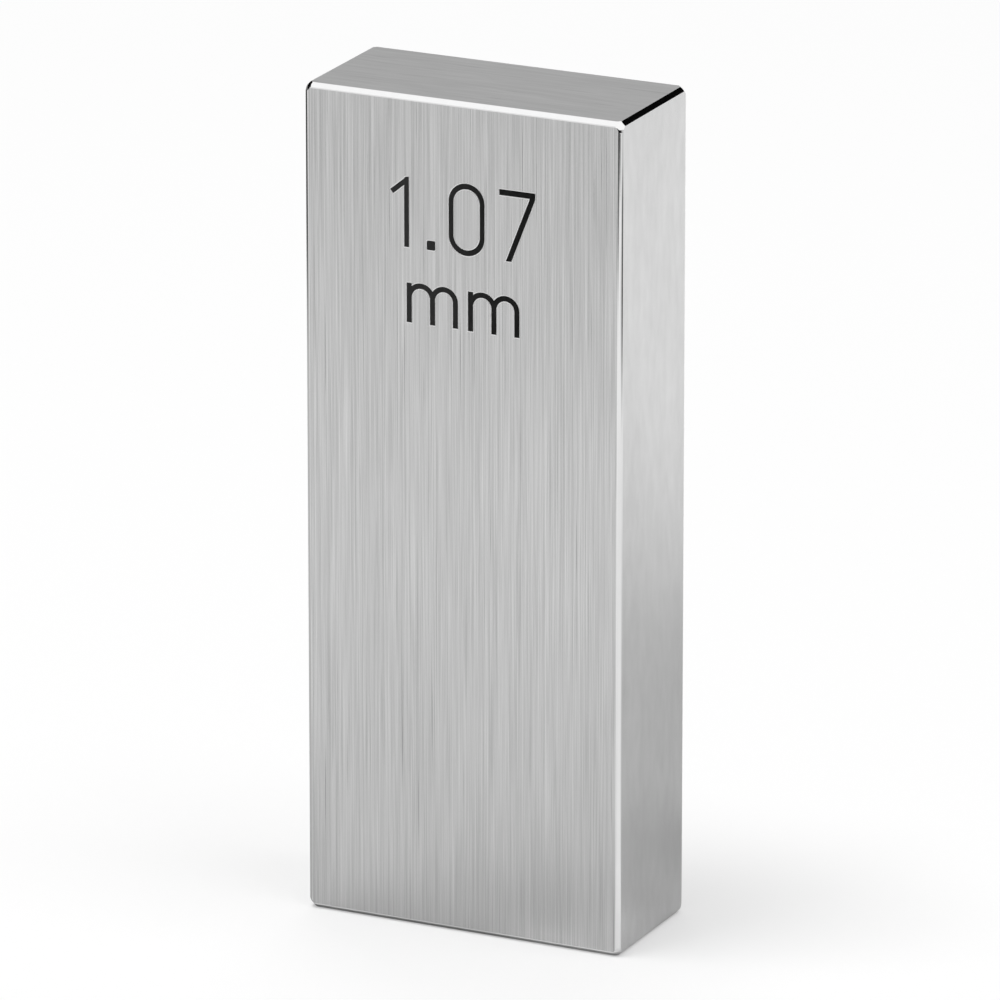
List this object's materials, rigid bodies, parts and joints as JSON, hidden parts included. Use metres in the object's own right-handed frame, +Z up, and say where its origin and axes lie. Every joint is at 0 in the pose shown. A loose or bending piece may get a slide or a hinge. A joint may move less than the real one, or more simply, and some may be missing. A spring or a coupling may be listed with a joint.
{
  "type": "gauge block",
  "caption": "Rectangular steel gauge block with flat measuring faces, chamfered ends, rounded upright edges and eased corners.",
  "frame": {"origin": "centre of the base, with the block standing on one end", "axes": "+Z up along the block's longest side, +X along the width of the large measuring faces, +Y through the thickness from the marked face to the back face"},
  "size_m": [0.012, 0.0052, 0.03],
  "materials": {
    "steel": "fine straight grain on the large faces and the ends, smooth satin narrow sides, bright chamfers"
  },
  "bodies": {
    "root": {"gauge_block": "steel"}
  },
  "joints": []
}
